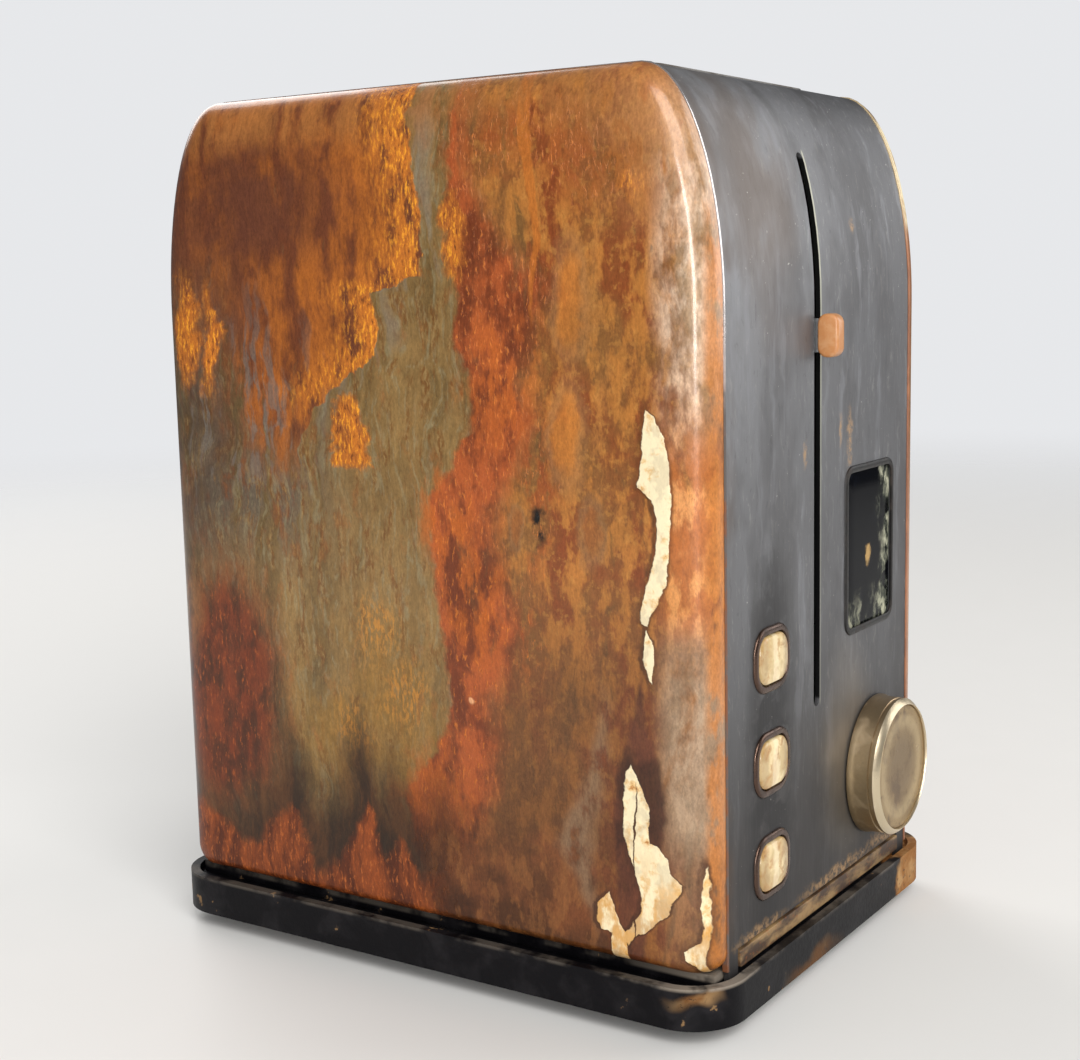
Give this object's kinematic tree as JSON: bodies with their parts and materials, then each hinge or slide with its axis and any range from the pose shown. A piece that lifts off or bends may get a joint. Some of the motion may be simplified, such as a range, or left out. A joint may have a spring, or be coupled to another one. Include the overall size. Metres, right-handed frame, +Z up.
{
  "type": "pop-up toaster",
  "caption": "Tall pop-up toaster with pressed side panels, a push-down lever in a long front slot, push buttons, a dark timer window, a browning dial, bread guards and a pull-out crumb tray.",
  "frame": {"origin": "bottom centre of the whole toaster, on the surface it stands on", "axes": "+Z up, -Y towards the front panel with the lever and the dial, +X to the right as seen from the front"},
  "size_m": [0.1312, 0.1746, 0.2206],
  "materials": {
    "rusted_steel": "rusted sheet steel under old varnish, satin",
    "dark_steel": "dark grey brushed steel, satin, stained",
    "bright_bead": "bright bead, worn",
    "surround_steel": "dark brushed steel",
    "base_plastic": "black moulding with rust stains",
    "plate_steel": "black painted sheet",
    "foot_rubber": "matt",
    "screw_steel": "plated",
    "bush_plastic": "matt",
    "ivory_plastic": "matt",
    "tray_steel": "tarnished sheet",
    "tray_lip_paint": "tan, rubbed",
    "aluminised_steel": "aluminised sheet",
    "mica": "mica board",
    "ribbon_steel": "oxidised resistance ribbon",
    "wire_steel": "bright wire",
    "zinc_steel": "zinc plated",
    "bush_bronze": "sintered bronze",
    "lever_plastic": "copper tan, worn",
    "core_steel": "bare",
    "coil_tape": "taped winding",
    "board_laminate": "circuit board",
    "switch_plastic": "black",
    "standoff_plastic": "grey",
    "module_plastic": "dark",
    "pot_metal": "plated can",
    "cap_plastic": "ivory, stained amber",
    "bezel_bronze": "dark bronze",
    "window_glass": "black glass, clouded at the edges",
    "bezel_dark": "dark rim",
    "dial_metal": "aged champagne, satin",
    "dial_face_metal": "worn face, satin"
  },
  "bodies": {
    "casing": {"cover": "dark_steel", "left_side_panel": "rusted_steel", "right_side_panel": "rusted_steel", "left_seam_bead": "bright_bead", "right_seam_bead": "bright_bead", "slot_surround": "surround_steel", "base": "base_plastic", "bottom_plate": "plate_steel", "feet": "foot_rubber", "base_screws": "screw_steel", "rear_screws": "screw_steel", "cord_bush": "bush_plastic", "terminal_block": "ivory_plastic", "front_bulkhead": "aluminised_steel", "rear_bulkhead": "aluminised_steel", "left_heat_shield": "aluminised_steel", "right_heat_shield": "aluminised_steel", "left_element_card": "mica", "centre_element_card": "mica", "right_element_card": "mica", "element_ribbons": "ribbon_steel", "guide_rail": "wire_steel", "rail_brackets": "zinc_steel", "lift_spring": "wire_steel", "solenoid_yoke": "core_steel", "solenoid_coil": "coil_tape", "mains_switch": "ivory_plastic", "button_board": "board_laminate", "display_board": "board_laminate", "tact_switches": "switch_plastic", "board_standoffs": "standoff_plastic", "display_module": "module_plastic", "potentiometer": "pot_metal", "button_bezels": "bezel_bronze", "display_window": "window_glass", "display_bezel": "bezel_dark", "dial_bush": "zinc_steel"},
    "carriage": {"carriage_plate": "zinc_steel", "carriage_bush": "bush_bronze", "left_rack": "wire_steel", "right_rack": "wire_steel", "lever_arm": "zinc_steel", "lever_tab": "lever_plastic", "armature": "core_steel"},
    "dial_knob": {"dial": "dial_metal", "dial_cap": "dial_face_metal", "dial_shaft": "zinc_steel"},
    "tray": {"crumb_tray": "tray_steel", "tray_lip": "tray_lip_paint"},
    "upper_button": {"top_button": "cap_plastic"},
    "mid_button": {"middle_button": "cap_plastic"},
    "lower_button": {"bottom_button": "cap_plastic"},
    "guard_1": {"left_slot_outer_guard": "wire_steel"},
    "guard_2": {"left_slot_inner_guard": "wire_steel"},
    "guard_3": {"right_slot_inner_guard": "wire_steel"},
    "guard_4": {"right_slot_outer_guard": "wire_steel"}
  },
  "joints": [
    {"name": "carriage_slide", "type": "slide", "parent": "casing", "child": "carriage", "axis": [0, 0, 1], "range_m": [-0.082, 0.03], "stiffness_N_per_m": 120, "springref_m": 0.0062, "deforming": ["lift_spring"]},
    {"name": "guard_1_lean", "type": "hinge", "parent": "casing", "child": "guard_1", "pos_m": [-0.0407, 0.0092, 0.031], "axis": [0, 1, 0], "range_deg": [-1.6, 4.1]},
    {"name": "guard_2_lean", "type": "hinge", "parent": "casing", "child": "guard_2", "pos_m": [-0.0103, 0.0092, 0.031], "axis": [0, 1, 0], "range_deg": [-4.1, 1.6]},
    {"name": "guard_3_lean", "type": "hinge", "parent": "casing", "child": "guard_3", "pos_m": [0.0103, 0.0092, 0.031], "axis": [0, 1, 0], "range_deg": [-1.6, 4.1]},
    {"name": "guard_4_lean", "type": "hinge", "parent": "casing", "child": "guard_4", "pos_m": [0.0407, 0.0092, 0.031], "axis": [0, 1, 0], "range_deg": [-4.1, 1.6]},
    {"name": "dial_turn", "type": "hinge", "parent": "casing", "child": "dial_knob", "pos_m": [0.0305, -0.0833, 0.0435], "axis": [0, -1, 0], "range_deg": [-150, 150]},
    {"name": "upper_button_press", "type": "slide", "parent": "casing", "child": "upper_button", "axis": [0, 1, 0], "range_m": [0, 0.001], "stiffness_N_per_m": 300, "springref_m": -0.0005},
    {"name": "mid_button_press", "type": "slide", "parent": "casing", "child": "mid_button", "axis": [0, 1, 0], "range_m": [0, 0.001], "stiffness_N_per_m": 300, "springref_m": -0.0005},
    {"name": "lower_button_press", "type": "slide", "parent": "casing", "child": "lower_button", "axis": [0, 1, 0], "range_m": [0, 0.001], "stiffness_N_per_m": 300, "springref_m": -0.0005},
    {"name": "tray_slide", "type": "slide", "parent": "casing", "child": "tray", "axis": [0, -1, 0], "range_m": [0, 0.12]}
  ],
  "couplings": [
    {"joint": "guard_1_lean", "follows": "carriage_slide", "rad_per_m": -0.85138},
    {"joint": "guard_2_lean", "follows": "carriage_slide", "rad_per_m": 0.85138},
    {"joint": "guard_3_lean", "follows": "carriage_slide", "rad_per_m": -0.85138},
    {"joint": "guard_4_lean", "follows": "carriage_slide", "rad_per_m": 0.85138}
  ]
}
